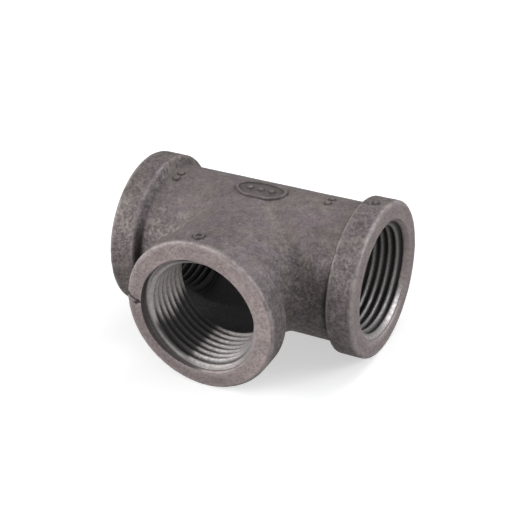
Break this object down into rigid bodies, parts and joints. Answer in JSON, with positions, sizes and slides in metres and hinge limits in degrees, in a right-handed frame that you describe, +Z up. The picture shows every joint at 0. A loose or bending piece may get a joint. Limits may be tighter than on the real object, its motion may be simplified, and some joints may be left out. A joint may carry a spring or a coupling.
{
  "type": "pipe tee",
  "caption": "Equal pipe tee in cast iron with female threaded sockets, a banded rim at each mouth and a hollow centre joining run and branch.",
  "frame": {"origin": "where the centre lines of the run and the branch cross", "axes": "+X along the run to the right socket, -Y out of the branch socket, +Z up with the tee lying flat"},
  "size_m": [0.076, 0.0606, 0.0457],
  "materials": {
    "casting": "dark oxide skin as cast, fine sand grain, oiled bright metal on the cut threads"
  },
  "bodies": {
    "root": {"tee_casting": "casting"}
  },
  "joints": []
}
